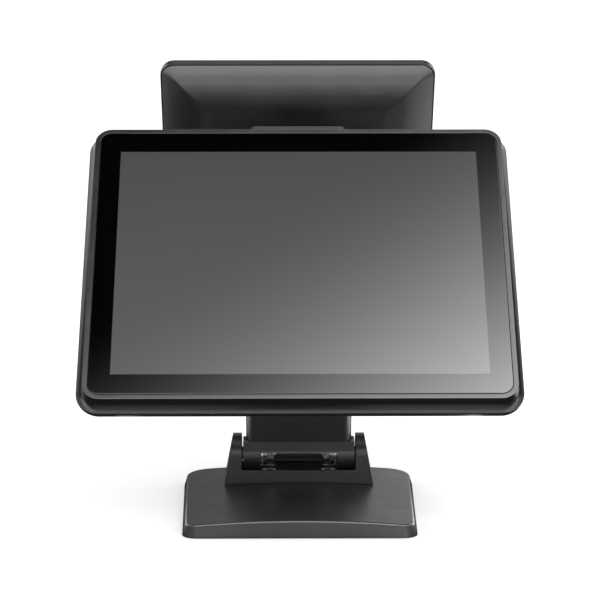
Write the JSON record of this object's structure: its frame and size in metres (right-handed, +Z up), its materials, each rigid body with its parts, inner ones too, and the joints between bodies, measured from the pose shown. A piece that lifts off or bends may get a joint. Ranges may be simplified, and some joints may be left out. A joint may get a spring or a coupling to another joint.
{
  "type": "pos touchscreen terminal",
  "caption": "Checkout terminal: touchscreen head on a double-hinged neck and weighted base, with a smaller customer display hinged on an arm behind the head.",
  "frame": {"origin": "on the surface that the feet stand on, under the middle of the whole terminal's bounding box", "axes": "+X to the right of the operator, +Y from the operator to the customer, +Z up"},
  "size_m": [0.36, 0.3396, 0.3735],
  "materials": {
    "black_abs": "fine-grained moulded black plastic, satin",
    "bezel_abs": "smooth moulded black plastic, semi-gloss",
    "cover_glass": "toughened glass, printed black round the picture area",
    "lcd": "dark grey switched-off panel",
    "rubber": "matt moulded rubber",
    "zinc_steel": "zinc-plated",
    "black_steel": "black powder coat",
    "aluminium": "extruded, plain",
    "circuit_board": "green solder mask",
    "connector_shell": "nickel-plated",
    "connector_black": "matt black"
  },
  "bodies": {
    "base": {"base_cover": "black_abs", "base_plate": "black_steel", "ballast_plate": "zinc_steel", "foot_front_left": "rubber", "foot_front_right": "rubber", "foot_rear_left": "rubber", "foot_rear_right": "rubber", "hinge_saddle": "black_abs", "bracket_left": "zinc_steel", "bracket_right": "zinc_steel", "bracket_screw_left_front": "zinc_steel", "bracket_screw_left_rear": "zinc_steel", "bracket_screw_right_front": "zinc_steel", "bracket_screw_right_rear": "zinc_steel"},
    "neck": {"neck_front_cover": "black_abs", "neck_rear_cover": "black_abs", "neck_spine": "zinc_steel", "lower_shaft_left": "zinc_steel", "lower_shaft_right": "zinc_steel", "lower_washers_left": "zinc_steel", "lower_washers_right": "zinc_steel", "lower_nut_left": "zinc_steel", "lower_nut_right": "zinc_steel", "upper_shaft_left": "zinc_steel", "upper_shaft_right": "zinc_steel", "upper_washers_left": "zinc_steel", "upper_washers_right": "zinc_steel", "upper_nut_left": "zinc_steel", "upper_nut_right": "zinc_steel"},
    "head": {"front_bezel": "bezel_abs", "touch_glass": "cover_glass", "lcd_panel": "lcd", "chassis": "zinc_steel", "mainboard": "circuit_board", "heat_sink": "aluminium", "ssd": "aluminium", "rear_housing": "black_abs", "mount_plate": "black_steel", "mount_screw_upper_left": "zinc_steel", "mount_screw_upper_right": "zinc_steel", "mount_screw_lower_left": "zinc_steel", "mount_screw_lower_right": "zinc_steel", "io_tray": "zinc_steel", "usb_ports_left": "connector_shell", "usb_ports_right": "connector_shell", "lan_port": "connector_shell", "serial_port": "connector_shell", "drawer_port": "connector_black", "power_inlet": "connector_black", "customer_arm": "black_abs", "arm_screw_left": "zinc_steel", "arm_screw_right": "zinc_steel"},
    "power_button": {"power_button": "bezel_abs"},
    "customer_display": {"customer_bezel": "bezel_abs", "customer_glass": "cover_glass", "customer_lcd": "lcd", "customer_board": "circuit_board", "customer_rear_cover": "black_abs", "hinge_block": "black_steel", "customer_pin": "zinc_steel"}
  },
  "joints": [
    {"name": "neck_tilt", "type": "hinge", "parent": "base", "child": "neck", "pos_m": [0, 0.0011, 0.037], "axis": [1, 0, 0], "range_deg": [-15, 15]},
    {"name": "head_tilt", "type": "hinge", "parent": "neck", "child": "head", "pos_m": [0, -0.03028, 0.17856], "axis": [1, 0, 0], "range_deg": [-20, 40]},
    {"name": "customer_tilt", "type": "hinge", "parent": "head", "child": "customer_display", "pos_m": [0, 0.09976, 0.28036], "axis": [1, 0, 0], "range_deg": [-20, 20]},
    {"name": "power_press", "type": "slide", "parent": "head", "child": "power_button", "axis": [0, -0.7046, 0.7096], "range_m": [0, 0.0015], "stiffness_N_per_m": 700, "springref_m": -0.0005}
  ]
}
